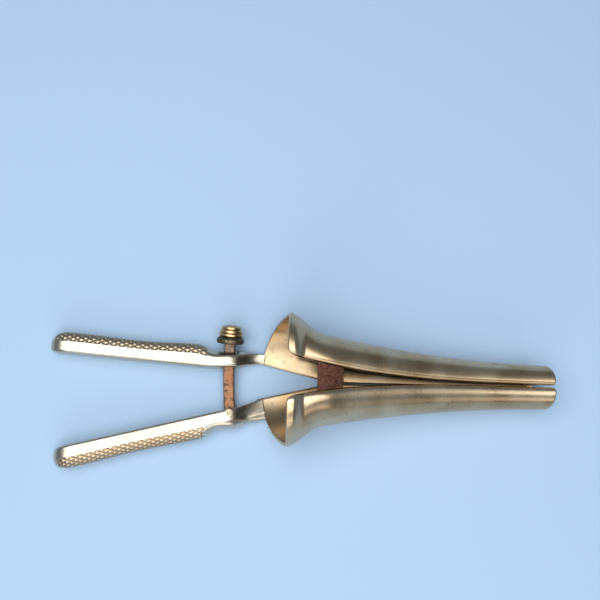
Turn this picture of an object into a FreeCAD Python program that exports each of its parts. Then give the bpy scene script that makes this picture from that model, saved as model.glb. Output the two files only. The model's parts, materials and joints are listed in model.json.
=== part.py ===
import FreeCAD, Part
import math
import os

# Two-blade tube speculum, lying on its far side.
# Millimetres. +X runs along the tube to the tips, +Y to the upper blade, +Z up.
# The origin is on the hinge axis, on the plane the instrument lies on.

V = FreeCAD.Vector
UP = V(0, 0, 1)

# blades
TIP_X = 94.9
TIP_RADIUS = 9.45
ROOT_RADIUS = 18.5
TAPER_POWER = 1.85
WALL = 1.7
TIP_SLANT = 4.5
TIP_CORNER = 2.0
SPLIT_GAP = 0.15
SLOT_TIP = 0.45
SLOT_ROOT = 4.55
SLOT_POWER = 3.6
CURL_ROOT = 2.4
CURL_TIP = 1.9
# flared mouth
FLARE_START = -4.0
FLARE_END = -18.5
FLARE_OUT = 6.0
FLARE_UP = 0.8
RISE_BACK = 0.12
LIP_X = -18.7
LIP_CORNER = 2.2
TONGUE_X = -31.0
VEE_DEG = 13.8
TAB_END = -34.5
BLADE_BACK = -36.0
STATION = 4.0
# handles
GRIP_HEIGHT = 10.6
GRIP_FLAT = 4.7
GRIP_EDGE = 1.5
GRIP_START = -57.0
NECK_FULL = -46.0
NECK_END = -29.8
NECK_LOW = 4.8
GRIP_WIDTH = 9.7
UPPER_END = -124.1
LOWER_END = -118.9
UPPER_BASE_X = -56.6
UPPER_BASE_Y = 5.3
UPPER_SPLAY_DEG = 4.07
UPPER_STEP = 2.2
LOWER_BASE_X = -30.0
LOWER_BASE_Y = 9.15
LOWER_SPLAY_DEG = 14.0
HANDLE_STATION = 3.0
END_ROUND = 5.0
END_ROUND_IN = 2.6
# hinge
LEAF_HALF = 5.7
LEAF_THICK = 1.6
LEAF_GAP = 0.15
LEAF_Z = 3.1
LEAF_REACH = 9.4
RIVET_R = 1.8
RIVET_HEAD_R = 3.0
RIVET_HEAD = 0.9
RUNNING = 0.05
LOOSE = 0.3
# adjusting screw, bent to an arc that also rises towards its nut
SCREW_Z = 4.2
PIVOT_X = -43.65
PIVOT_Y = -14.44
SCREW_LEAN = 7.0
SCREW_RISE = 48.7
SCREW_ARC_R = 113.0
SCREW_LENGTH = 38.2
SCREW_R = 2.6
SCREW_FLAT = 3.2
EYE_R = 2.6
PIN_R = 1.3
PIN_HEAD_R = 1.5
# nut and its washer, set by distance along the screw
WASHER_AT = 30.6
WASHER_THICK = 2.9
WASHER_R = 6.1
NUT_GAP = 0.16
NUT_R = 5.0
RING_PITCH = 1.5
RING_DEPTH = 0.55
RING_COUNT = 3
# slots through the necks
NECK_SLOT_X = 3.6
UPPER_SLOT_LOW = 2.5
UPPER_SLOT_TOP = 8.5
EYE_SLOT_HALF = 1.95
UPPER_SLOT_AT = 24.0
UPPER_SLOT_DEG = 4.0
THROUGH = 30.0
EYE_ROOM = 0.6
# plan of a handle: share of the way from its end to the blade, and share of the grip's width
UPPER_PLAN = [(0.0, 1.0), (0.15, 1.0), (0.425, 0.938), (0.69, 1.031), (0.78, 0.742), (0.86, 0.763)]
UPPER_PLAN += [(1.0, 0.629)]
LOWER_PLAN = [(0.0, 1.031), (0.122, 1.041), (0.392, 0.979), (0.7, 1.052), (0.779, 0.814)]
LOWER_PLAN += [(0.869, 0.938), (0.942, 0.804), (1.0, 0.753)]


def smooth(t):
    """0 below 0, 1 above 1, with a smooth step between."""
    t = max(0.0, min(1.0, t))
    return t * t * (3.0 - 2.0 * t)


def flare(x):
    return smooth((x - FLARE_START) / (FLARE_END - FLARE_START))


def tube_radius(x):
    """Radius of the round tube at x, the mouth's own flare left out."""
    x = max(x, FLARE_END)
    part = (1.0 - x / TIP_X) ** TAPER_POWER if x < TIP_X else 0.0
    return TIP_RADIUS + (ROOT_RADIUS - TIP_RADIUS) * part


def half_width(x):
    return tube_radius(x) + FLARE_OUT * flare(x)


def half_height(x):
    if x >= 0:
        return tube_radius(x)
    return ROOT_RADIUS - RISE_BACK * max(x, FLARE_END) + FLARE_UP * flare(x)


def slot_half(x):
    x = max(x, FLARE_END)
    part = (1.0 - x / TIP_X) ** SLOT_POWER if x < TIP_X else 0.0
    return SLOT_TIP + (SLOT_ROOT - SLOT_TIP) * part


def curl_radius(x):
    part = max(0.0, min(1.0, x / TIP_X))
    return CURL_ROOT + (CURL_TIP - CURL_ROOT) * part


def curve(points):
    """Smooth curve through the points, evenly spaced in its own parameter."""
    spline = Part.BSplineCurve()
    last = len(points) - 1.0
    spline.interpolate(Points=points, Parameters=[k / last for k in range(len(points))])
    return spline.toShape()


def bend(centre, start, across, degrees):
    """Five points of a round bend from start, turning towards the direction across."""
    arm = start - centre
    points = []
    for k in range(5):
        t = math.radians(degrees) * k / 4.0
        points.append(centre + arm * math.cos(t) + across * math.sin(t))
    return points


def side_points(x, inset):
    """One side of the blade's section, from the split line round to the curled edge."""
    a = half_width(x)
    b = half_height(x)
    r = curl_radius(x)
    mid = slot_half(x) + r
    start = math.asin(SPLIT_GAP / (a - inset))
    points = []
    for k in range(7):
        t = start + (math.pi / 2 - start) * k / 6.0
        points.append(V(x, (a - inset) * math.sin(t), b - (b - inset) * math.cos(t)))
    for k in range(1, 7):
        t = math.pi / 2 * (1.0 + k / 6.0)
        y = mid + (a - inset - mid) * math.sin(t)
        points.append(V(x, y, b - (b - inset) * math.cos(t)))
    for k in range(1, 4):
        t = math.pi / 2 * (1.0 + k / 3.0)
        y = mid + (r - inset) * math.cos(t)
        points.append(V(x, y, 2 * b - r + (r - inset) * math.sin(t)))
    return points


def blade_section(x):
    outer = side_points(x, 0.0)
    inner = side_points(x, WALL)
    edges = [curve(outer)]
    edges.append(curve(bend((outer[-1] + inner[-1]) * 0.5, outer[-1], V(0, 0, -WALL / 2), 180)))
    edges.append(curve(list(reversed(inner))))
    edges.append(Part.makeLine(inner[0], outer[0]))
    return Part.Wire(edges)


def cavity_section(x):
    """Half of the space inside the tube, to trim what is fixed to the wall."""
    inner = side_points(x, WALL)
    top = V(x, -2.0, inner[-1].z)
    low = V(x, -2.0, inner[0].z)
    edges = [curve(inner)]
    edges.append(Part.makeLine(inner[-1], top))
    edges.append(Part.makeLine(top, low))
    edges.append(Part.makeLine(low, inner[0]))
    return Part.Wire(edges)


def blade_stations():
    count = int((TIP_X + 1.0 - BLADE_BACK) / STATION) + 1
    return [BLADE_BACK + STATION * k for k in range(count + 1)]


def prism(points, low, high):
    """Upright solid on a closed plan outline."""
    ring = [V(p[0], p[1], low) for p in points]
    face = Part.Face(Part.makePolygon(ring + [ring[0]]))
    return face.extrude(V(0, 0, high - low))


def mouth_cutter():
    """What the flared mouth leaves off: a bow at the far side, a straight lip at the near side."""
    wide = half_width(FLARE_END)
    depth = LIP_X - TONGUE_X
    bow = []
    for k in range(25):
        y = -1.06 * wide + 2.12 * wide * k / 24.0
        bow.append(V(TONGUE_X + depth * (y / wide) ** 2, y, -1.0))
    edge = curve(bow)
    back = [V(-60, bow[-1].y, -1.0), V(-60, bow[0].y, -1.0)]
    wire = Part.Wire([edge, Part.makePolygon([bow[-1]] + back + [bow[0]])])
    low = Part.Face(wire).extrude(V(0, 0, half_height(FLARE_END) + 1.0))
    near = Part.makeBox(60, 80, 60, V(LIP_X - 60, -40, half_height(FLARE_END) - 0.01))
    return low.fuse(near)


def corner_cutter(x, y, r, sx, sy, low, high):
    """The scrap outside a rounded corner at (x, y); sx, sy point away from the metal."""
    points = [(x + sx, y + sy), (x + sx, y - sy * r), (x, y - sy * r)]
    cx = x - sx * r
    cy = y - sy * r
    for k in range(1, 8):
        t = math.pi / 2 * k / 8.0
        points.append((cx + sx * r * math.cos(t), cy + sy * r * math.sin(t)))
    points += [(x - sx * r, y), (x - sx * r, y + sy)]
    return prism(points, low, high)


def tip_cutter():
    height = 2 * TIP_RADIUS
    far = TIP_X - TIP_SLANT
    ring = [V(far - TIP_SLANT / height, 0, -1), V(TIP_X + TIP_SLANT / height, 0, height + 1)]
    ring += [V(TIP_X + 20, 0, height + 1), V(TIP_X + 20, 0, -1)]
    face = Part.Face(Part.makePolygon([p - V(0, 30, 0) for p in ring + [ring[0]]]))
    return face.extrude(V(0, 60, 0))


def upper_blade():
    body = Part.makeLoft([blade_section(x) for x in blade_stations()], True, False)
    rim = corner_cutter(TIP_X, TIP_RADIUS, TIP_CORNER, 1, 1, -1, 30)
    spread = math.tan(math.radians(VEE_DEG))
    vee = [(0.0, -3.0), (0.0, SPLIT_GAP), (-40.0, SPLIT_GAP + 40.0 * spread), (-40.0, -3.0)]
    tab = prism([(-25, 6.6), (-25, 10.8), (TAB_END, 10.8), (TAB_END, 7.6)], -1.0, 6.0)
    mouth = mouth_cutter().cut(tab)
    lip = corner_cutter(LIP_X, slot_half(LIP_X), LIP_CORNER, -1, -1, 25, 60)
    notch = Part.makeCylinder(RIVET_R + LOOSE, 4.0, V(0, 0, -1.0))
    cutters = [tip_cutter(), rim, prism(vee, -1.0, 12.0), mouth, lip, notch]
    return biggest(body.cut(cutters))


def biggest(shape):
    return max(shape.Solids, key=lambda s: s.Volume)


def mirrored(shape):
    return shape.mirror(V(0, 0, 0), V(0, 1, 0))


def handle_section(x, inner, width, height):
    """Flat inner, near and far faces, rounded inner corners and a deep rounded outer side."""
    e = min(GRIP_EDGE, 0.25 * height)
    flat = inner + width * GRIP_FLAT / GRIP_WIDTH
    out = inner + width
    half = height / 2.0
    cap = []
    for k in range(13):
        t = -math.pi / 2 + math.pi * k / 12.0
        cap.append(V(x, flat + (out - flat) * math.cos(t), half + half * math.sin(t)))
    near = V(x, inner + e, height)
    side = V(x, inner, height - e)
    low = V(x, inner, e)
    far = V(x, inner + e, 0)
    edges = [Part.makeLine(far, cap[0]), curve(cap), Part.makeLine(cap[-1], near)]
    edges.append(curve(bend(V(x, inner + e, height - e), near, V(0, -e, 0), 90)))
    edges.append(Part.makeLine(side, low))
    edges.append(curve(bend(V(x, inner + e, e), low, V(0, 0, -e), 90)))
    return Part.Wire(edges)


def neck_height(x):
    return GRIP_HEIGHT + (NECK_LOW - GRIP_HEIGHT) * smooth((x - NECK_FULL) / (NECK_END - NECK_FULL))


def inner_line(x, base_x, base_y, splay):
    return base_y + (base_x - x) * math.tan(math.radians(splay))


def width_at(x, end, plan):
    """Width at x from the plan's shares, with a smooth change between each two."""
    share = (x - end) / (NECK_END - end)
    for (s0, w0), (s1, w1) in zip(plan, plan[1:]):
        if share < s1:
            return GRIP_WIDTH * (w0 + (w1 - w0) * smooth((share - s0) / (s1 - s0)))
    return GRIP_WIDTH * plan[-1][1]


def handle_body(end, line, plan, root_shift):
    """Handle as one loft from its rounded end to the blade."""
    sections = []
    count = int((NECK_END - end) / HANDLE_STATION) + 1
    for k in range(count + 1):
        x = NECK_END - HANDLE_STATION * (count - k)
        shift = root_shift * smooth((x - GRIP_START) / (NECK_END - GRIP_START))
        start = inner_line(x, *line) + shift
        sections.append(handle_section(x, start, width_at(x, end, plan), neck_height(x)))
    body = Part.makeLoft(sections, True, False)
    inner = inner_line(end, *line)
    body = body.cut(Part.makeBox(10, 60, 30, V(end - 10, 0, -5)))
    outer = inner + GRIP_WIDTH * plan[0][1]
    body = body.cut(corner_cutter(end, outer, END_ROUND, -1, 1, -1, 30))
    return body.cut(corner_cutter(end, inner, END_ROUND_IN, -1, -1, -1, 30))


def start_way():
    lean = math.radians(SCREW_LEAN)
    return V(-math.sin(lean), math.cos(lean), 0)


def bend_way():
    """Direction in which the screw bends: to the blades' side and up."""
    lean = math.radians(SCREW_LEAN)
    rise = math.radians(SCREW_RISE)
    return V(math.cos(lean) * math.cos(rise), math.sin(lean) * math.cos(rise), math.sin(rise))


def arc_centre():
    return V(PIVOT_X, PIVOT_Y, SCREW_Z) + bend_way() * SCREW_ARC_R


def on_screw(distance):
    """Point on the screw's centre line and its direction, by distance from the pivot."""
    turn = distance / SCREW_ARC_R
    c = math.cos(turn)
    s = math.sin(turn)
    point = arc_centre() + (start_way() * s - bend_way() * c) * SCREW_ARC_R
    return point, start_way() * c + bend_way() * s


def neck_slot(back, low, top):
    """Box that cuts the screw's slot, starting a distance behind the origin."""
    return Part.makeBox(2 * NECK_SLOT_X, THROUGH, top - low, V(-NECK_SLOT_X, -back, low))


def make_upper_handle(blade):
    line = (UPPER_BASE_X, UPPER_BASE_Y, UPPER_SPLAY_DEG)
    body = handle_body(UPPER_END, line, UPPER_PLAN, UPPER_STEP)
    point, direction = on_screw(UPPER_SLOT_AT)
    slot = neck_slot(THROUGH / 2, UPPER_SLOT_LOW, UPPER_SLOT_TOP)
    slot.rotate(V(0, 0, 0), UP, UPPER_SLOT_DEG)
    slot.translate(V(point.x, point.y, 0))
    body = body.cut(slot)
    return biggest(body.cut(blade))


def make_lower_handle(blade):
    line = (LOWER_BASE_X, LOWER_BASE_Y, LOWER_SPLAY_DEG)
    body = mirrored(handle_body(LOWER_END, line, LOWER_PLAN, 0.0))
    slot = neck_slot(EYE_R + EYE_ROOM, SCREW_Z - EYE_SLOT_HALF, SCREW_Z + EYE_SLOT_HALF)
    slot.translate(V(PIVOT_X, PIVOT_Y, 0))
    hole = Part.makeCylinder(PIN_R, 20, V(PIVOT_X, PIVOT_Y, -5))
    body = body.cut(slot).cut(hole)
    return biggest(body.cut(blade))


def leaf_plate(low, high):
    """Plate with a round end about the hinge axis, running out to the blade's wall."""
    disc = Part.makeCylinder(LEAF_HALF, high - low, V(0, 0, low))
    tail = Part.makeBox(2 * LEAF_HALF, LEAF_REACH, high - low, V(-LEAF_HALF, 0, low))
    return disc.fuse(tail)


def cavity():
    stations = [x for x in blade_stations() if -16 < x < 35]
    side = Part.makeLoft([cavity_section(x) for x in stations], True, False)
    return side.fuse(mirrored(side))


def make_upper_leaf(space):
    low = LEAF_Z + LEAF_THICK + LEAF_GAP
    plate = leaf_plate(low, low + LEAF_THICK)
    foot = Part.makeBox(2 * LEAF_HALF, LEAF_REACH, low, V(-LEAF_HALF, 0, 0.1))
    foot = foot.cut(Part.makeCylinder(LEAF_HALF + LOOSE, low + 2, V(0, 0, -1)))
    foot = foot.common(space)
    hole = Part.makeCylinder(RIVET_R + RUNNING, 20, V(0, 0, -5))
    return biggest(plate.common(space).fuse(foot).cut(hole))


def make_lower_leaf(space):
    plate = leaf_plate(LEAF_Z, LEAF_Z + LEAF_THICK)
    foot = Part.makeBox(2 * LEAF_HALF, LEAF_REACH - 4.2, LEAF_Z, V(-LEAF_HALF, 4.2, 0.1))
    foot = foot.common(space)
    hole = Part.makeCylinder(RIVET_R, 20, V(0, 0, -5))
    return biggest(mirrored(plate.common(space).fuse(foot).cut(hole)))


def make_rivet():
    """Rivet with a low domed head; its tail is filed flush with the blades' far side."""
    top = LEAF_Z + 2 * LEAF_THICK + 2 * LEAF_GAP
    shank = Part.makeCylinder(RIVET_R, top + 0.1)
    head = Part.makeCylinder(RIVET_HEAD_R, RIVET_HEAD, V(0, 0, top))
    ball = Part.makeSphere(5.6, V(0, 0, top + RIVET_HEAD - 5.6))
    return biggest(shank.fuse(head.common(ball)).removeSplitter())


def make_screw():
    """Round bar with two flats, bent to an arc, with an eye round the pivot pin."""
    point, direction = on_screw(0.0)
    ring = []
    half = math.asin(SCREW_FLAT / 2 / SCREW_R)
    across = V(-direction.y, direction.x, 0)
    def at(angle):
        return point + across * (SCREW_R * math.cos(angle)) + UP * (SCREW_R * math.sin(angle))
    ring.append(Part.Arc(at(-half), at(0), at(half)).toShape())
    ring.append(Part.makeLine(at(half), at(math.pi - half)))
    ring.append(Part.Arc(at(math.pi - half), at(math.pi), at(math.pi + half)).toShape())
    ring.append(Part.makeLine(at(math.pi + half), at(-half)))
    face = Part.Face(Part.Wire(ring))
    axis = start_way().cross(bend_way())
    bar = face.revolve(arc_centre(), axis, math.degrees(SCREW_LENGTH / SCREW_ARC_R))
    low = V(PIVOT_X, PIVOT_Y, SCREW_Z - SCREW_FLAT / 2)
    eye = Part.makeCylinder(EYE_R, SCREW_FLAT, low)
    hole = Part.makeCylinder(PIN_R + RUNNING, 20, V(PIVOT_X, PIVOT_Y, -5))
    return biggest(bar.fuse(eye).cut(hole).removeSplitter())


def make_pivot_pin():
    top = neck_height(PIVOT_X)
    shank = Part.makeCylinder(PIN_R, top + 0.1, V(PIVOT_X, PIVOT_Y, 0.1))
    head = Part.makeCylinder(PIN_HEAD_R, 0.35, V(PIVOT_X, PIVOT_Y, top + 0.05))
    dimple = Part.makeCone(0.5, 0.9, 0.3, V(PIVOT_X, PIVOT_Y, top + 0.2))
    return shank.fuse(head).cut(dimple).removeSplitter()


def turned(profile, at):
    """Solid turned about the screw's direction; profile lists (along, radius)."""
    ring = [V(0, p[1], p[0]) for p in profile]
    solid = Part.Face(Part.makePolygon(ring + [ring[0]])).revolve(V(0, 0, 0), UP, 360)
    point, direction = on_screw(at)
    turn = FreeCAD.Rotation(UP, direction)
    solid.Placement = FreeCAD.Placement(point, turn)
    return solid


def make_washer():
    bore = SCREW_R + LOOSE
    t = WASHER_THICK
    profile = [(0.0, bore), (0.0, WASHER_R - 0.6), (0.1 * t, WASHER_R - 0.2), (0.24 * t, WASHER_R)]
    profile += [(0.6 * t, WASHER_R), (0.82 * t, WASHER_R - 0.35), (t, WASHER_R - 0.9), (t, bore)]
    return turned(profile, WASHER_AT)


def make_nut():
    bore = SCREW_R + LOOSE
    profile = [(0.0, bore), (0.0, NUT_R - RING_DEPTH)]
    for k in range(RING_COUNT):
        base = 0.25 + RING_PITCH * k
        r = NUT_R - 0.12 * k * k
        steps = [(0.0, r - RING_DEPTH), (0.15, r - 0.2), (0.4, r), (0.85, r), (1.1, r - 0.2)]
        steps.append((1.25, r - RING_DEPTH))
        profile += [(base + s[0], s[1]) for s in steps]
    top = 0.25 + RING_PITCH * RING_COUNT
    profile += [(top, NUT_R - RING_DEPTH - 0.8), (top, bore)]
    return turned(profile, WASHER_AT + WASHER_THICK + NUT_GAP)


def main():
    os.makedirs("parts", exist_ok=True)
    upper = upper_blade()
    lower = mirrored(upper)
    space = cavity()
    nodes = {"upper_valve": upper, "lower_valve": lower}
    nodes["upper_handle"] = make_upper_handle(upper)
    nodes["lower_handle"] = make_lower_handle(lower)
    nodes["upper_hinge_leaf"] = make_upper_leaf(space)
    nodes["lower_hinge_leaf"] = make_lower_leaf(space)
    nodes["hinge_rivet"] = make_rivet()
    nodes["adjusting_screw"] = make_screw()
    nodes["screw_pivot_pin"] = make_pivot_pin()
    nodes["nut_washer"] = make_washer()
    nodes["thumb_nut"] = make_nut()
    for name, shape in nodes.items():
        box = shape.BoundBox
        size = [round(v, 2) for v in (box.XMin, box.XMax, box.YMin, box.YMax, box.ZMin, box.ZMax)]
        print(name, shape.isValid(), len(shape.Solids), round(shape.Volume, 1), size)
        shape.exportStep("parts/" + name + ".step")


main()
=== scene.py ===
"""Two-blade tube speculum with checkered squeeze handles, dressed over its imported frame.

Lengths are in millimetres and angles in degrees, unless a comment says otherwise. X runs along
the blades towards their tips, with the hinge's axis at X = 0. Y = 0 is the split plane between
the two levers, and the far side of the tube rests at Z = 0.
"""

import json
import logging
import math
from dataclasses import dataclass
from enum import Enum

import bpy
import numpy as np
from mathutils import Matrix, Vector

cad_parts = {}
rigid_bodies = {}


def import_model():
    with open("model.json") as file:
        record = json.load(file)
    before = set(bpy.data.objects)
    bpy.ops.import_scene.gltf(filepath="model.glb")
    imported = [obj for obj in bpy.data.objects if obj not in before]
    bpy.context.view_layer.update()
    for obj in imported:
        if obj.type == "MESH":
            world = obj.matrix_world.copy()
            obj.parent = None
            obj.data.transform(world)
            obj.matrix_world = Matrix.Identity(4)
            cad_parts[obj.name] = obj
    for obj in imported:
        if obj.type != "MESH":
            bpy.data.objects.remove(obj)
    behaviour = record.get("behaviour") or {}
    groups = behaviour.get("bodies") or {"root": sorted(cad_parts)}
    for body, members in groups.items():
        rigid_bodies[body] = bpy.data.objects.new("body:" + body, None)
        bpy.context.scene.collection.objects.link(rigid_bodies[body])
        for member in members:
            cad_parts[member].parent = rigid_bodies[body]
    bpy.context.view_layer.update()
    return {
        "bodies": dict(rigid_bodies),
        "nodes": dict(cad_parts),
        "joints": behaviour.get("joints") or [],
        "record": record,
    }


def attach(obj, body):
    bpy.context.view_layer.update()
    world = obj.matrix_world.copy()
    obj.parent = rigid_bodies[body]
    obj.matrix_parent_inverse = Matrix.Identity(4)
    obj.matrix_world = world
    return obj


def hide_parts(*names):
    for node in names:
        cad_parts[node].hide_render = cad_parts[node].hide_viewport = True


Colour = tuple[float, float, float, float]
Triple = tuple[float, float, float]
Pair = tuple[float, float]
Array = np.ndarray
Piece = bpy.types.Object
Material = bpy.types.Material
Socket = bpy.types.NodeSocket

MM = 0.001
QUARTER = np.pi / 2
LOG = logging.getLogger("speculum")

# Sizes that the blades and the handles' necks share.
WALL = 1.7
SPLIT_GAP = 0.15
VEE_DEG = 13.8
TONGUE_X = -31.0
LIP_X = -18.7
BOW_POWER = 0.6


class Side(Enum):
    """Which half of the instrument a piece belongs to, as the sign of its Y."""

    UPPER = 1
    LOWER = -1


class Join(Enum):
    """Ways in which two numbers of a shader are joined."""

    PLUS = "ADD"
    TIMES = "MULTIPLY"
    LARGER = "MAXIMUM"


def smooth(t: Array) -> Array:
    """Smooth step: 3t^2 - 2t^3 with t held between 0 and 1."""
    t = np.clip(t, 0.0, 1.0)
    return t * t * (3.0 - 2.0 * t)


def ring_quads(rows: int, count: int) -> Array:
    """Quads of a tube of closed rings, ring after ring.

    Args:
        rows: Number of rings.
        count: Points on each ring.

    Returns:
        Array of shape (quads, 4) of point numbers.
    """
    i = np.arange(rows - 1)[:, None] * count
    j = np.arange(count)[None, :]
    k = (j + 1) % count
    quads = np.stack([i + j, i + k, i + count + k, i + count + j], axis=-1)
    return quads.reshape(-1, 4)


def closed_tube(full: Array) -> tuple[Array, list[Array]]:
    """Closed surface over rings of points, with a fan onto the middle of each end ring.

    Args:
        full: Array (rings, points on a ring, 3).

    Returns:
        Points (n, 3) with the two middles last, and the arrays of faces.
    """
    rows, count = full.shape[:2]
    points = np.concatenate([full.reshape(-1, 3), full[[0, -1]].mean(axis=1)])
    ring = np.arange(count)
    faces = [ring_quads(rows, count)]
    for base, middle, order in ((0, rows * count, -1), ((rows - 1) * count, rows * count + 1, 1)):
        fan = [ring + base, np.roll(ring, -1) + base, np.full(count, middle)]
        faces.append(np.stack(fan, axis=-1)[:, ::order])
    return points, faces


def signed_volume(points: Array, faces: list[Array]) -> float:
    """Volume inside the faces, as the sum of a.(b x c)/6 over fans of triangles.

    Args:
        points: Array (n, 3).
        faces: Arrays of point numbers.

    Returns:
        Positive where the faces point outwards.
    """
    tris = [block[:, [0, k, k + 1]] for block in faces for k in range(1, block.shape[1] - 1)]
    a, b, c = (points[np.concatenate(tris)[:, k]] for k in range(3))
    return float(np.sum(a * np.cross(b, c)) / 6.0)


def make_piece(
    name: str,
    points: Array,
    faces: list[Array],
    wear: Array | None = None,
    dirt: Array | None = None,
) -> Piece:
    """Mesh object at the origin from points in millimetres, its faces turned outwards.

    Args:
        name: Name of the piece.
        points: Array (n, 3) in millimetres.
        faces: Arrays of point numbers, each of shape (m, 3) or (m, 4).
        wear: Share of bare metal at each point, 0 to 1, or None for none.
        dirt: Share of grime colour at each point, 0 to 1, or None for none; on the handles it is
            dirt in the grooves, inside the blades painted shadow.

    Returns:
        The new object.
    """
    if signed_volume(points, faces) < 0.0:
        faces = [block[:, ::-1] for block in faces]
    lists = [face for block in faces for face in block.tolist()]
    mesh = bpy.data.meshes.new(name)
    mesh.from_pydata((points * MM).tolist(), [], lists)
    mesh.validate()
    for label, given in (("wear", wear), ("dirt", dirt)):
        values = np.zeros(len(points)) if given is None else np.clip(given, 0.0, 1.0)
        layer = mesh.attributes.new(label, "FLOAT", "POINT")
        layer.data.foreach_set("value", values.astype(np.float32))
    mesh.polygons.foreach_set("use_smooth", np.ones(len(mesh.polygons), dtype=bool))
    piece = bpy.data.objects.new(name, mesh)
    bpy.context.collection.objects.link(piece)
    return piece


def settle(piece: Piece, material: Material, body: str, slot: str, *nodes: str) -> None:
    """Gives a new piece its finish and puts it on its body in place of its nodes.

    Args:
        piece: The new piece.
        material: Its finish.
        body: Body that it rides on.
        slot: Material slot of the record; not used.
        nodes: Nodes that it stands for.
    """
    piece.data.materials.clear()
    piece.data.materials.append(material)
    if nodes:
        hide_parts(*nodes)
    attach(piece, body)
    LOG.info("%s: %d faces on %s", piece.name, len(piece.data.polygons), body)


@dataclass
class Graph:
    """Small helper that adds shader nodes to one node tree."""

    tree: bpy.types.NodeTree

    def add(self, kind: str, fill: dict[str | int, object], **values: object) -> bpy.types.Node:
        """Adds one node.

        Args:
            kind: Blender's name of the node.
            fill: Its inputs by name or number, each a socket to link or a plain value.
            values: Properties to set on it.

        Returns:
            The node.
        """
        node = self.tree.nodes.new(kind)
        for key, value in values.items():
            setattr(node, key, value)
        for key, value in fill.items():
            if isinstance(value, Socket):
                self.tree.links.new(value, node.inputs[key])
            else:
                node.inputs[key].default_value = value
        return node

    def place(self, scale: Triple) -> Socket:
        """Object coordinates in metres, stretched along X, Y and Z."""
        where = self.add("ShaderNodeTexCoord", {}).outputs["Object"]
        return self.add("ShaderNodeMapping", {"Vector": where, "Scale": scale}).outputs["Vector"]

    def noise(self, where: Socket, scale: float, detail: float) -> Socket:
        """Noise of 0 to 1, from its waves per metre and its number of finer layers."""
        fill = {"Vector": where, "Scale": scale, "Detail": detail}
        return self.add("ShaderNodeTexNoise", fill).outputs["Fac"]

    def cells(self, where: Socket, scale: float) -> Socket:
        """Distance to the nearest of scattered points, as a share of their spacing."""
        fill = {"Vector": where, "Scale": scale}
        return self.add("ShaderNodeTexVoronoi", fill).outputs["Distance"]

    def spread(self, value: Socket, source: Pair, target: Pair = (0.0, 1.0)) -> Socket:
        """Value carried from one range to another and held inside it."""
        ends = dict(zip(("From Min", "From Max", "To Min", "To Max"), source + target))
        return self.add("ShaderNodeMapRange", {"Value": value, **ends}).outputs["Result"]

    def join(self, a: object, b: object, how: Join = Join.PLUS) -> Socket:
        """Two numbers joined into one."""
        return self.add("ShaderNodeMath", {0: a, 1: b}, operation=how.value).outputs[0]

    def times(self, a: object, b: object) -> Socket:
        """Two numbers multiplied."""
        return self.join(a, b, Join.TIMES)

    def blend(self, share: object, a: object, b: object) -> Socket:
        """Colour a going over to colour b by a share of 0 to 1."""
        return self.add("ShaderNodeMix", {0: share, 6: a, 7: b}, data_type="RGBA").outputs[2]

    def attribute(self, name: str) -> Socket:
        """Number stored on the piece's own points."""
        return self.add("ShaderNodeAttribute", {}, attribute_name=name).outputs["Fac"]


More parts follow.
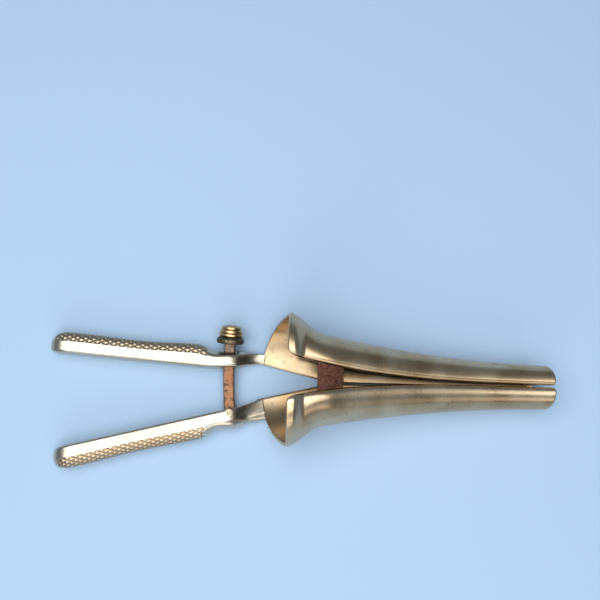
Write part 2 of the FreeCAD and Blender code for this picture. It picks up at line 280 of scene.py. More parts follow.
@dataclass(frozen=True)
class Plate:
    """Worn metal finish: two tones, dark stains, bare edges, fine scratches and pits, and a grime
    colour that is dirt on the handles and painted shadow inside the blades.

    Scales are waves per metre, details are numbers of finer layers, and bump_high is in
    millimetres. The ranges say which values of a noise go over from none to full.
    """

    name: str
    tone: Colour
    second: Colour
    stain: Colour
    bare: Colour
    rough: Pair
    # Colour laid by the stored share: dirt on the handles, painted shadow inside the blades.
    grime_and_painted_shade: Colour = (0.05, 0.03, 0.02, 1)
    metallic: float = 1.0
    bump: float = 0.35
    bump_high: float = 0.15
    patch: float = 60.0
    patch_detail: float = 5.0
    patch_range: Pair = (0.35, 0.65)
    rough_range: Pair = (0.3, 0.7)
    spots: float = 4.0
    spot_detail: float = 6.0
    stain_from: float = 0.62
    stain_soft: float = 0.16
    stain_rough: float = 0.18
    grain: float = 900.0
    grain_detail: float = 3.0
    grain_bump: float = 0.12
    grain_stain: float = 0.15
    grain_wear: Pair = (0.3, 0.6)
    scratch: float = 0.10
    scratch_scale: float = 4200.0
    scratch_detail: float = 2.0
    scratch_stretch: Triple = (0.06, 1.0, 1.0)
    pits: float = 0.0
    pit_scale: float = 520.0
    pit_range: Pair = (0.10, 0.26)
    pit_dark: float = 0.85
    pit_field: float = 130.0
    pit_field_detail: float = 4.0
    pit_field_range: Pair = (0.64, 0.70)

    def material(self) -> Material:
        """Material whose colour, roughness and bump all vary over the piece.

        Stains are fine noise and some grain from a threshold up. Pits are round cells, kept
        only where a broad noise is high.

        Returns:
            The new material.
        """
        made = bpy.data.materials.new(self.name)
        made.use_nodes = True
        made.node_tree.nodes.clear()
        g = Graph(made.node_tree)
        where = g.place((1.0, 1.0, 1.0))
        patches = g.noise(where, self.patch, self.patch_detail)
        grain = g.noise(where, self.grain, self.grain_detail)
        lines = g.noise(g.place(self.scratch_stretch), self.scratch_scale, self.scratch_detail)
        spots = g.noise(where, self.patch * self.spots, self.spot_detail)
        spots = g.join(spots, g.times(grain, self.grain_stain))
        stains = g.spread(spots, (self.stain_from, self.stain_from + self.stain_soft))
        worn = g.times(g.attribute("wear"), g.spread(grain, self.grain_wear))
        colour = g.blend(g.spread(patches, self.patch_range), self.tone, self.second)
        colour = g.blend(stains, colour, self.stain)
        colour = g.blend(worn, colour, self.bare)
        # Grime colour by the stored share: dirt in the handles' checkering, painted shadow on the
        # blades' inner skin.
        colour = g.blend(g.attribute("dirt"), colour, self.grime_and_painted_shade)
        rough = g.spread(patches, self.rough_range, self.rough)
        rough = g.join(rough, g.times(stains, self.stain_rough))
        height = g.join(g.times(grain, self.grain_bump), g.times(lines, self.scratch))
        if self.pits > 0.0:
            cells = g.spread(g.cells(where, self.pit_scale), self.pit_range, (1.0, 0.0))
            broad = g.noise(where, self.pit_field, self.pit_field_detail)
            holes = g.times(cells, g.spread(broad, self.pit_field_range))
            colour = g.blend(g.times(holes, self.pit_dark), colour, self.stain)
            height = g.join(height, g.times(holes, -self.pits))
        bump = g.add("ShaderNodeBump", {
            "Strength": self.bump, "Distance": self.bump_high * MM, "Height": height})
        shader = g.add("ShaderNodeBsdfPrincipled", {
            "Base Color": colour, "Roughness": rough, "Metallic": self.metallic,
            "Normal": bump.outputs["Normal"]})
        g.add("ShaderNodeOutputMaterial", {"Surface": shader.outputs["BSDF"]})
        return made


BLADE = Plate(
    "worn_plate_blade", tone=(0.45, 0.30, 0.155, 1), second=(0.58, 0.46, 0.30, 1),
    stain=(0.26, 0.15, 0.075, 1), bare=(0.70, 0.62, 0.50, 1), rough=(0.25, 0.36),
    stain_from=0.70, patch=75.0, scratch=0.05, pits=0.8, bump=0.2)
HANDLE = Plate(
    "worn_plate_handle", tone=(0.58, 0.52, 0.42, 1), second=(0.50, 0.42, 0.29, 1),
    stain=(0.36, 0.22, 0.10, 1), bare=(0.62, 0.58, 0.50, 1), rough=(0.24, 0.34),
    stain_from=0.74, bump=0.2, grime_and_painted_shade=(0.36, 0.22, 0.10, 1))
HINGE = Plate(
    "rusty_hinge", tone=(0.38, 0.16, 0.095, 1), second=(0.29, 0.13, 0.085, 1),
    stain=(0.18, 0.085, 0.06, 1), bare=(0.40, 0.30, 0.24, 1), rough=(0.60, 0.80),
    stain_from=0.52, patch=420.0, grain=1500.0, grain_bump=1.0, pits=1.2, metallic=0.15,
    bump=1.0, spots=3.0)
SCREW = Plate(
    "rusty_screw", tone=(0.30, 0.12, 0.055, 1), second=(0.36, 0.21, 0.12, 1),
    stain=(0.13, 0.07, 0.05, 1), bare=(0.15, 0.13, 0.105, 1), rough=(0.38, 0.58),
    stain_from=0.58, patch=150.0, grain_bump=0.6, pits=0.3, metallic=0.55, bump=0.6)
PIN = Plate(
    "worn_pin", tone=(0.42, 0.34, 0.22, 1), second=(0.52, 0.45, 0.33, 1),
    stain=(0.16, 0.10, 0.06, 1), bare=(0.75, 0.70, 0.58, 1), rough=(0.28, 0.40))
# Near-black finish of the flange: painted shade; the flange is brass like the nut, dark only in
# shade.
SHADED_FLANGE = Plate(
    "dark_flange", tone=(0.05, 0.05, 0.06, 1), second=(0.11, 0.09, 0.07, 1),
    stain=(0.02, 0.02, 0.025, 1), bare=(0.34, 0.24, 0.12, 1), rough=(0.34, 0.50),
    metallic=0.9)
NUT = Plate(
    "worn_nut_brass", tone=(0.40, 0.24, 0.09, 1), second=(0.50, 0.34, 0.14, 1),
    stain=(0.10, 0.06, 0.035, 1), bare=(0.80, 0.66, 0.40, 1), rough=(0.22, 0.34),
    stain_from=0.64)


@dataclass
class LeverPiece:
    """Piece that one of the two levers carries, named after its side."""

    side: Side

    def named(self, ending: str) -> str:
        """Name that starts with the side."""
        return f"{self.side.name.lower()}_{ending}"

    def mirrored(self, x: Array, y: Array, z: Array) -> Array:
        """Points (..., 3), with Y turned to the piece's own side."""
        return np.stack([x, y * self.side.value, z], axis=-1)

    def dress(self, piece: Piece, material: Material, slot: str, node: str) -> None:
        """Gives the piece its finish and its place on the lever."""
        settle(piece, material, self.named("lever"), slot, self.named(node))


@dataclass
class Blade(LeverPiece):
    """One half-tube blade, worked out from its length and the way round its wall.

    Its sections lie square to X. Going round, s runs from 0 at the far split line through 1 at
    the widest place and 2 at the top of the near side to 3 at the end of the curled edge.
    """

    # Bare metal on the curled edge: wear, and on the lower blade also a painted highlight.
    curl_wear_and_highlight: float
    # Tube, tip and wall.
    tip_x: float = 94.9
    tip_radius: float = 9.45
    root_radius: float = 18.5
    taper_power: float = 1.85
    tip_slant: float = 4.5
    tip_corner: float = 2.0
    tip_round: float = 0.45
    # Far split line with its notch round the rivet, near slot, and curled near edge.
    split_chamfer: float = 0.2
    notch: float = 2.1
    slot_tip: float = 0.45
    slot_root: float = 4.55
    slot_power: float = 3.6
    curl_root: float = 2.4
    curl_tip: float = 1.9
    # Mouth: flare, rise of the near side, bead along the lip, bowed edge, tab under the neck.
    flare_start: float = -4.0
    flare_end: float = -18.5
    flare_out: float = 6.0
    rise_long: float = 8.0
    bead: float = 1.4
    bead_from: float = 11.5
    bead_long: float = 4.6
    lip_corner: float = 2.2
    bow_rounds: int = 40
    tab_long: float = 3.6
    tab_at: float = 9.6
    tab_wide: float = 1.7
    rim_out: float = 0.8
    rim_in: float = 0.3
    # Rings: up to front_x they follow the mouth's edge, and from nose_x on the tip's edge.
    front_x: float = -9.0
    nose_x: float = 84.0
    rim_from_deg: float = 85.0
    rim_rings: int = 8
    mouth_rings: int = 46
    tube_rings: int = 110
    notch_rings: int = 17
    nose_rings: int = 16
    tip_rings: int = 5
    skin_points: tuple[int, int, int] = (40, 40, 17)
    edge_points: int = 9
    # Wear at the tip and on the curl, and painted shadow: the shade that the near edge casts on the
    # inner skin; depth shares past inner_from lie inside.
    tip_wear: float = 0.5
    tip_wear_long: float = 0.6
    curl_wear_at: float = 2.1
    curl_wear_wide: float = 0.3
    inner_from: float = 0.6
    painted_shadow: float = 0.93
    painted_shadow_from: float = 1.5
    painted_shadow_long: float = 4.0
    painted_shadow_soft: float = 1.2
    painted_shadow_clear: float = 0.3
    painted_shadow_spare: float = 1.2

    def to_tip(self, x: Array) -> Array:
        """Share 1 - x / length, which is 0 at the tip and stops growing at the flare's end."""
        return np.clip(1.0 - np.maximum(x, self.flare_end) / self.tip_x, 0.0, None)

    def tube_radius(self, x: Array) -> Array:
        """Tip radius plus the rest of the root radius times (1 - x / length) to a power."""
        rest = self.root_radius - self.tip_radius
        return self.tip_radius + rest * self.to_tip(x) ** self.taper_power

    def half_width(self, x: Array) -> Array:
        """Tube radius with the mouth's flare added as a smooth step."""
        share = smooth((x - self.flare_start) / (self.flare_end - self.flare_start))
        return self.tube_radius(x) + self.flare_out * share

    def half_height(self, x: Array) -> Array:
        """Half the height of the section.

        In front of the hinge it is the tube radius. Behind it the slope there fades out as
        slope * length * (1 - exp(-distance / length)), and then a bead rises to the lip.

        Args:
            x: Place along the tube.

        Returns:
            Half height in millimetres.
        """
        behind = np.clip(-np.maximum(x, self.flare_end), 0.0, None)
        slope = (self.root_radius - self.tip_radius) * self.taper_power / self.tip_x
        back = self.root_radius + slope * self.rise_long * (1.0 - np.exp(-behind / self.rise_long))
        back = back + self.bead * smooth((behind - self.bead_from) / self.bead_long)
        return np.where(x >= 0.0, self.tube_radius(x), back)

    def slot_half(self, x: Array) -> Array:
        """Half the open slot between the near edges: a power of the share to the tip."""
        rest = self.slot_root - self.slot_tip
        return self.slot_tip + rest * self.to_tip(x) ** self.slot_power

    def split_line(self, x: Array) -> Array:
        """Y of the far split edge: a gap, a vee behind the hinge and a notch round the rivet."""
        line = SPLIT_GAP + np.clip(-x, 0.0, None) * math.tan(math.radians(VEE_DEG))
        return np.maximum(line, np.sqrt(np.clip(self.notch**2 - x**2, 0.0, None)))

    def across(self, x: Array, s: Array, inset: Array, lift: Array) -> tuple[Array, Array]:
        """Y and Z on the wall.

        Far quarter: an ellipse about (0, b). Near quarter: an ellipse about (mid, b). Curl: a
        circle of the curl radius about (mid, 2b - r).

        Args:
            x: Place along the tube.
            s: Way round, 0 to 3.
            inset: Depth below the outer skin.
            lift: Extra distance from the split line.

        Returns:
            Y and Z in millimetres.
        """
        a, b = self.half_width(x), self.half_height(x)
        r = self.curl_root + (self.curl_tip - self.curl_root) * np.clip(x / self.tip_x, 0.0, 1.0)
        mid = self.slot_half(x) + r
        start = np.arcsin(np.clip((self.split_line(x) + lift) / (a - inset), 0.0, 1.0))
        t = np.where(s < 1.0, start + (QUARTER - start) * s, QUARTER * s)
        y = np.where(s < 1.0, (a - inset) * np.sin(t), mid + (a - inset - mid) * np.sin(t))
        z = b - (b - inset) * np.cos(t)
        turn = QUARTER * (s - 1.0)
        y = np.where(s > 2.0, mid + (r - inset) * np.cos(turn), y)
        z = np.where(s > 2.0, 2.0 * b - r + (r - inset) * np.sin(turn), z)
        return y, z

    def back_edge(self, s: Array) -> Array:
        """X of the mouth's edge.

        The far side is a bow, x = tongue + depth (1 - (1 - (y / width)^2)^power), less a tab
        long * exp(-((y - place) / width)^4). The near side is a straight lip with a round
        corner. As y depends on x, the sum is repeated until both agree.

        Args:
            s: Way round, 0 to 3.

        Returns:
            X in millimetres.
        """
        wide = self.half_width(np.array(self.flare_end))
        depth = LIP_X - TONGUE_X
        x = np.full_like(s, LIP_X)
        zero = np.zeros_like(s)
        for _ in range(self.bow_rounds):
            y = self.across(x, s, zero, zero)[0]
            rest = np.clip(1.0 - (y / wide) ** 2, 0.0, 1.0) ** BOW_POWER
            tab = self.tab_long * np.exp(-(((y - self.tab_at) / self.tab_wide) ** 4))
            x = np.where(s < 1.0, TONGUE_X + depth * (1.0 - rest) - tab, LIP_X)
        near = np.clip(self.lip_corner - (y - self.slot_half(x)), 0.0, self.lip_corner)
        corner = self.lip_corner - np.sqrt(self.lip_corner**2 - near**2)
        return np.where(s > 1.5, x + corner, x)

    def tip_edge(self, s: Array) -> Array:
        """X of the tip's edge: a slanted plane, with corners rounded in plan.

        Args:
            s: Way round, 0 to 3.

        Returns:
            X in millimetres.
        """
        x = np.full_like(s, self.tip_x)
        zero = np.zeros_like(s)
        y, z = self.across(x, s, zero, zero)
        slant = self.tip_x - self.tip_slant * (1.0 - z / (2.0 * self.tip_radius))
        past = np.clip(y - (self.tip_radius - self.tip_corner), 0.0, self.tip_corner)
        corner = self.tip_x - self.tip_corner + np.sqrt(self.tip_corner**2 - past**2)
        return np.minimum(slant, corner)

    def loop(self) -> tuple[Array, Array, Array, Array]:
        """Points of the closed section: out along the outer skin and back along the inner one.

        The first two points and the last one shape the split edge, with a chamfer at each skin.
        The points between the skins round off the curled edge.

        Returns:
            Way round, depth share, bulge past the edge and lift off the split line, each (n,).
        """
        far, near, curl = self.skin_points
        parts = [np.linspace(0, 1, far)[:-1], np.linspace(1, 2, near)[:-1], np.linspace(2, 3, curl)]
        skin = np.concatenate(parts)
        turn = np.radians(np.linspace(0, 180, self.edge_points + 2))[1:-1]
        none, full = skin * 0, skin * 0 + 1
        s = np.concatenate([[0, 0], skin, turn * 0 + 3.0, skin[::-1], [0]])
        depth = np.concatenate([[0.5, 0.1], none, (1 - np.cos(turn)) / 2, full, [0.9]])
        bulge = np.concatenate([[0, 0], none, np.sin(turn), none, [0]])
        lift = np.concatenate([[-0.1, 0], full, turn * 0, full, [0]])
        return s, depth, bulge, lift * self.split_chamfer

    def rings(self, s: Array, depth: Array) -> tuple[Array, Array, Array]:
        """Rings along the tube, and how far each skin has drawn in at the round rims.

        A rim is a quarter ellipse: x moves by r (1 - sin a) while the skin draws in by
        r (1 - cos a).

        Args:
            s: Way round of each point of the section.
            depth: Depth share of each point.

        Returns:
            X (rings, points), and the trims of the outer and inner skin (rings, 1).
        """
        start, end = self.back_edge(s), self.tip_edge(s)
        bend = np.radians(np.linspace(self.rim_from_deg, 0, self.rim_rings))[:, None]
        turn = self.rim_out + (self.rim_in - self.rim_out) * depth
        rim = start + turn * (1.0 - np.sin(bend))
        share = np.linspace(0.0, 1.0, self.mouth_rings)[1:, None]
        mouth = start + turn + (self.front_x - start - turn) * share
        places = np.linspace(self.front_x, self.nose_x, self.tube_rings)[1:]
        round_rivet = self.notch * np.cos(np.linspace(0, np.pi, self.notch_rings))
        places = np.unique(np.round(np.concatenate([places, round_rivet]), 3))
        tube = places[:, None] + 0 * s
        share = np.linspace(0.0, 1.0, self.nose_rings)[1:, None]
        nose = self.nose_x + (end - self.tip_round - self.nose_x) * share
        close = np.radians(np.linspace(0, 90, self.tip_rings))[1:, None]
        tip = end - self.tip_round * (1.0 - np.sin(close))
        rim_trim, tip_trim = 1.0 - np.cos(bend), self.tip_round * (1.0 - np.cos(close))
        plain = np.zeros((len(mouth) + len(tube) + len(nose), 1))
        out = np.concatenate([self.rim_out * rim_trim, plain, tip_trim])
        within = np.concatenate([self.rim_in * rim_trim, plain, tip_trim])
        return np.concatenate([rim, mouth, tube, nose, tip]), out, within

    def used(self, x: Array, y: Array, s: Array, depth: Array) -> tuple[Array, Array]:
        """Wear at the tip and on the curl, and painted shadow inside, out of reach of the slot.

        The tip's wear is exp(-distance / length), and the curl's is exp(-((s - place) / width)^2).

        Args:
            x: Place along the tube (rings, points).
            y: Distance from the split plane (rings, points).
            s: Way round of each point of the section.
            depth: Depth share of each point of the section.

        Returns:
            Wear and painted shadow (rings, points), 0 to 1.
        """
        left = np.clip(self.tip_edge(s) - x, 0, None)
        curl = np.exp(-(((s - self.curl_wear_at) / self.curl_wear_wide) ** 2))
        curl = curl * (depth < self.inner_from)
        wear = self.tip_wear * np.exp(-left / self.tip_wear_long) + curl * self.curl_wear_and_highlight
        # Painted shadow: the inner skin goes dark past a line a little outside the slot's edge,
        # where the near edge shades the far wall.
        share = np.clip(1.0 - x / self.tip_x, 0.0, None) ** 2
        clear = self.slot_half(x) + self.painted_shadow_clear + self.painted_shadow_spare * share
        along = smooth((x - self.flare_end - self.painted_shadow_from) / self.painted_shadow_long)
        beyond = smooth((y - clear) / self.painted_shadow_soft)
        return wear, self.painted_shadow * beyond * along * (depth > self.inner_from)

    def build(self) -> Piece:
        """Shell of the blade as rings along the tube, closed at the mouth's rim and the tip.

        Returns:
            The new object, with its wear and painted shadow stored on it.
        """
        s, depth, bulge, lift = self.loop()
        x, out, within = self.rings(s, depth)
        thick = WALL - out - within
        y, z = self.across(x, s + 0 * x, out + thick * depth, lift + 0 * x)
        z = z - bulge * thick / 2
        points = self.mirrored(x, y, z).reshape(-1, 3)
        rows, count = x.shape
        half, last, k = count // 2, (rows - 1) * count, np.arange(1, count // 2 - 1)
        quads = np.stack([k, k + 1, count - k - 1, count - k], axis=-1)
        tris = np.array([[0, 1, count - 1], [half - 1, half, half + 1]])
        faces = [ring_quads(rows, count), quads[:, ::-1], tris[:, ::-1], last + quads, last + tris]
        wear, dirt = self.used(x, y, s, depth)
        name = self.named("blade_shell")
        return make_piece(name, points, faces, wear.reshape(-1), dirt.reshape(-1))


@dataclass
class Handle(LeverPiece):
    """Squeeze handle as one loft, its rounded outer side cut with diamond checkering.

    The inner side runs through (base_x, base_y) at the splay. The plan gives the width, as a
    share of the grip's width, at shares of the way from the free end to the neck's end.
    """

    end: float
    base_x: float
    base_y: float
    splay_deg: float
    step: float
    plan: tuple[Pair, ...]
    checker_from: float
    checker_to: float
    # Screw's slot: its middle, its turn about Z, half its height, half its width, its length.
    slot_at: Triple
    slot_deg: float
    slot_high: float
    slot_half: float = 3.6
    slot_long: float = 30.0
    # Grip and neck.
    grip_width: float = 9.7
    grip_height: float = 10.6
    grip_flat: float = 4.7
    grip_edge: float = 1.5
    edge_share: float = 0.25
    grip_start: float = -57.0
    neck_full: float = -46.0
    neck_end: float = -29.8
    neck_low: float = 4.8
    reach_in: float = -0.3
    # Join with the mouth: where the neck settles onto its skin and bends along its bow.
    settle_from: float = -42.0
    settle_to: float = -27.5
    mouth_wide: float = 28.03
    mouth_high: float = 21.17
    proud: float = 0.15
    overlap: float = 0.9
    bend_from: float = -37.0
    # Free end: how long and how deep each side draws in.
    near_end: Pair = (8.0, 6.0)
    far_end: Pair = (2.0, 1.5)
    outer_end: Pair = (8.0, 5.2)
    inner_end: Pair = (3.5, 1.8)
    # Checkering.
    diamond_long: float = 3.6
    diamond_across: float = 2.0
    diamond_slope: float = 1.2
    groove: float = 0.42
    cap_radius: float = 5.15
    field_fade: float = 0.5
    field_half: float = 0.93
    field_soft: float = 0.05
    # Rings and points; a straight side's count leaves out the corners at its ends.
    end_rings: int = 40
    end_first: float = 0.02
    diamond_rings: int = 16
    grip_past: float = 1.0
    neck_past: float = 1.4
    neck_step: float = 0.4
    cap_points: int = 89
    side_points: int = 7
    corner_points: int = 8
    # Wear and dirt: on the cap, then on the near, corner, inner, corner and far runs.
    crest_wear: float = 0.55
    crown_wear: float = 0.4
    crown_wide: float = 0.05
    run_wear: tuple[float, ...] = (0.6, 0.9, 0.2, 0.5, 0.2)
    dirt: float = 0.75
    dirt_rise: float = 1.3

    def width(self, x: Array) -> Array:
        """Plan width, going smoothly from one share of the grip's width to the next.

        Args:
            x: Place along the handle.

        Returns:
            Width in millimetres.
        """
        share = (x - self.end) / (self.neck_end - self.end)
        width = np.full_like(x, self.plan[-1][1])
        for (s0, w0), (s1, w1) in zip(self.plan[::-1][1:], self.plan[::-1]):
            width = np.where(share < s1, w0 + (w1 - w0) * smooth((share - s0) / (s1 - s0)), width)
        return self.grip_width * width

    def height(self, x: Array) -> Array:
        """Full height on the grip, falling along the neck."""
        share = smooth((x - self.neck_full) / (self.neck_end - self.neck_full))
        return self.grip_height + (self.neck_low - self.grip_height) * share

    def settled(self, x: Array) -> Array:
        """Share by which the neck follows the mouth."""
        return smooth((x - self.settle_from) / (self.settle_to - self.settle_from))

    def floor_of_mouth(self, y: Array) -> Array:
        """Inner skin of the mouth: z = b - (b - wall) cos t, with sin t = y / (a - wall)."""
        sine = np.clip(y / (self.mouth_wide - WALL), 0.0, 0.99)
        return self.mouth_high - (self.mouth_high - WALL) * np.sqrt(1.0 - sine**2)

    def sides(self, x: Array) -> tuple[Array, Array]:
        """Y of the inner and outer sides.

        The inner side is a straight line with a smooth step, then the edge of the vee.

        Args:
            x: Place along the handle.

        Returns:
            Y of the inner side and of the outer side.
        """
        line = self.base_y + (self.base_x - x) * math.tan(math.radians(self.splay_deg))
        line = line + self.step * smooth((x - self.grip_start) / (self.neck_end - self.grip_start))
        vee = SPLIT_GAP - x * math.tan(math.radians(VEE_DEG))
        return line + (vee - line) * self.settled(x), line + self.width(x)

    def stations(self) -> Array:
        """Places of the rings: close together at the end and over the checkering.

        Returns:
            X of each ring.
        """
        long = self.near_end[0]
        tip = self.end + long * (1.0 - np.cos(np.linspace(self.end_first, QUARTER, self.end_rings)))
        step = self.diamond_long / self.diamond_rings
        grip = np.arange(self.end + long, self.checker_to + self.grip_past, step)
        neck_from, neck_to = self.checker_to + self.neck_past, self.neck_end + self.reach_in
        return np.concatenate([tip[:-1], grip, np.arange(neck_from, neck_to, self.neck_step)])

    def relief(self, x: Array, turn: Array) -> Array:
        """Depth of the checkering: the lesser of two triangle waves makes each diamond's pyramid.

        Args:
            x: Place along the handle.
            turn: Angle round the outer side in radians.

        Returns:
            Depth below the surface in millimetres.
        """
        waves = []
        for sign in (1.0, -1.0):
            way = x / self.diamond_long + sign * turn * self.cap_radius / self.diamond_across
            waves.append(2.0 * np.abs(way - np.round(way)))
        pyramid = np.minimum(1.0, self.diamond_slope * np.minimum(*waves))
        start = smooth((x - self.checker_from) / self.field_fade)
        stop = smooth((self.checker_to - x) / self.field_fade)
        edge = smooth((self.field_half - np.abs(turn / QUARTER)) / self.field_soft)
        return self.groove * (1.0 - pyramid) * (start * stop) * edge

    @staticmethod
    def take(d: Array, long: float, deep: float) -> Array:
        """How far an elliptic end has drawn in at d: deep (1 - sqrt(1 - (1 - d / long)^2))."""
        short = np.clip(1.0 - d / long, 0.0, 1.0)
        return deep * (1.0 - np.sqrt(1.0 - short * short))

    def section(self, x: Array, turn: Array) -> tuple[Array, Array, Array]:
        """Outline of each ring: a checkered half ellipse, then straight runs with round corners.

        Args:
            x: Places of the rings (rings, 1).
            turn: Angles round the half ellipse (1, cap points).

        Returns:
            Y and Z (rings, points), and the checkering's depth (rings, cap points).
        """
        inner, outer = self.sides(x)
        width, high = outer - inner, self.height(x)
        e = np.minimum(self.grip_edge, self.edge_share * high)
        flat = inner + width * self.grip_flat / self.grip_width
        depth = self.relief(x, turn)
        run = np.linspace(0, 1, self.side_points + 2)[None, 1:-1]
        bend = np.linspace(0, QUARTER, self.corner_points)[None, :]
        near_y, far_y = flat + (inner + e - flat) * run, inner + e + (flat - inner - e) * run
        side_z = high - e + (2 * e - high) * run
        y = np.concatenate([
            flat + (inner + width - flat - depth) * np.cos(turn), near_y,
            inner + e - e * np.sin(bend), inner + 0 * side_z, inner + e - e * np.cos(bend), far_y,
        ], axis=1)
        z = np.concatenate([
            high / 2 + (high / 2 - depth) * np.sin(turn), high + 0 * near_y,
            high - e + e * np.cos(bend), side_z, e - e * np.sin(bend), 0 * far_y,
        ], axis=1)
        return y, z, depth

    def fit_ends(self, x: Array, y: Array, z: Array) -> tuple[Array, Array, Array]:
        """Rounds the free end, and settles the neck on the mouth's skin and along its bow.

        At the free end each ring is squeezed between the drawn-in sides.

        Args:
            x: Places of the rings (rings, 1).
            y: Y round each ring.
            z: Z round each ring.

        Returns:
            The new X, Y and Z of every point.
        """
        inner, outer = self.sides(x)
        width, high, d = outer - inner, self.height(x), x - self.end
        low_y = inner + self.take(d, *self.inner_end)
        high_y = inner + width - self.take(d, *self.outer_end)
        low_z, high_z = self.take(d, *self.far_end), high - self.take(d, *self.near_end)
        y = low_y + (y - inner) * (high_y - low_y) / width
        z = low_z + z * (high_z - low_z) / high
        over = np.clip(z - self.floor_of_mouth(y) - self.proud, 0.0, None)
        rest = np.clip(1.0 - (y / self.mouth_wide) ** 2, 0.0, 1.0) ** BOW_POWER
        bow = TONGUE_X + (LIP_X - TONGUE_X) * (1.0 - rest)
        late = np.clip(bow + self.overlap - x[-1], 0.0, None)
        bent = x + late * smooth((x - self.bend_from) / (x[-1] - self.bend_from))
        return bent, y, z - over * self.settled(x)

    def used(self, depth: Array, turn: Array, count: int) -> tuple[Array, Array]:
        """Wear on the crests, crown and runs, and dirt in the grooves.

        Args:
            depth: Depth of the checkering (rings, cap points).
            turn: Angles round the half ellipse (1, cap points).
            count: Points on each ring.

        Returns:
            Wear and dirt of every point, with two more for the middles of the ends.
        """
        sunk = depth / self.groove
        crown = np.exp(-(((1.0 - np.abs(turn) / QUARTER) / self.crown_wide) ** 2))
        runs = [self.side_points, self.corner_points] * 2 + [self.side_points]
        flats = np.tile(np.repeat(self.run_wear, runs), (len(sunk), 1))
        cap = self.crest_wear * (1.0 - sunk) + self.crown_wear * crown
        wear = np.concatenate([cap, flats], axis=1)
        clean = np.zeros((len(sunk), count - turn.size))
        dirt = np.concatenate([self.dirt * smooth(sunk * self.dirt_rise), clean], axis=1)
        return tuple(np.append(block, [0.0, 0.0]) for block in (wear, dirt))

    def build(self) -> Piece:
        """Handle as closed rings along X, with a fan at each end and the screw's slot cut.

        Returns:
            The new object, with its wear and dirt stored on it.
        """
        x = self.stations()[:, None]
        turn = np.linspace(-QUARTER, QUARTER, self.cap_points)[None, :]
        y, z, depth = self.section(x, turn)
        bent, y, z = self.fit_ends(x, y, z)
        points, faces = closed_tube(self.mirrored(bent, y, z))
        name, marks = self.named("checkered_handle"), self.used(depth, turn, y.shape[1])
        piece = make_piece(name, points, faces, *marks)
        self.cut_slot(piece)
        return piece

    def cut_slot(self, piece: Piece) -> None:
        """Cuts the screw's slot through the neck with a box, then keeps the cut mesh.

        Args:
            piece: The handle.
        """
        place = tuple(value * MM for value in self.slot_at)
        turn = (0.0, 0.0, math.radians(self.slot_deg))
        bpy.ops.mesh.primitive_cube_add(size=1.0, location=place, rotation=turn)
        box = bpy.context.object
        box.scale = (2 * self.slot_half * MM, self.slot_long * MM, 2 * self.slot_high * MM)
        bpy.context.view_layer.update()
        cut = piece.modifiers.new("slot", "BOOLEAN")
        cut.operation = "DIFFERENCE"
        cut.solver = "EXACT"
        cut.object = box
        graph = bpy.context.evaluated_depsgraph_get()
        made = bpy.data.meshes.new_from_object(piece.evaluated_get(graph))
        piece.modifiers.clear()
        piece.data = made
        bpy.data.objects.remove(box, do_unlink=True)


UPPER_HANDLE = Handle(
    Side.UPPER, end=-124.1, base_x=-56.6, base_y=5.3, splay_deg=4.07, step=2.2,
    plan=((0.0, 1.0), (0.15, 1.0), (0.425, 0.938), (0.69, 1.031), (0.78, 0.742),
          (0.86, 0.763), (1.0, 0.629)),
    checker_from=-121.5, checker_to=-54.0,
    slot_at=(-44.89, 9.41, 5.5), slot_deg=4.0, slot_high=3.0)
LOWER_HANDLE = Handle(
    Side.LOWER, end=-118.9, base_x=-30.0, base_y=9.15, splay_deg=14.0, step=0.0,
    plan=((0.0, 1.031), (0.122, 1.041), (0.392, 0.979), (0.7, 1.052), (0.779, 0.814),
          (0.869, 0.938), (0.942, 0.804), (1.0, 0.753)),
    checker_from=-116.0, checker_to=-54.0,
    slot_at=(-43.65, -2.64, 4.2), slot_deg=0.0, slot_high=1.95)


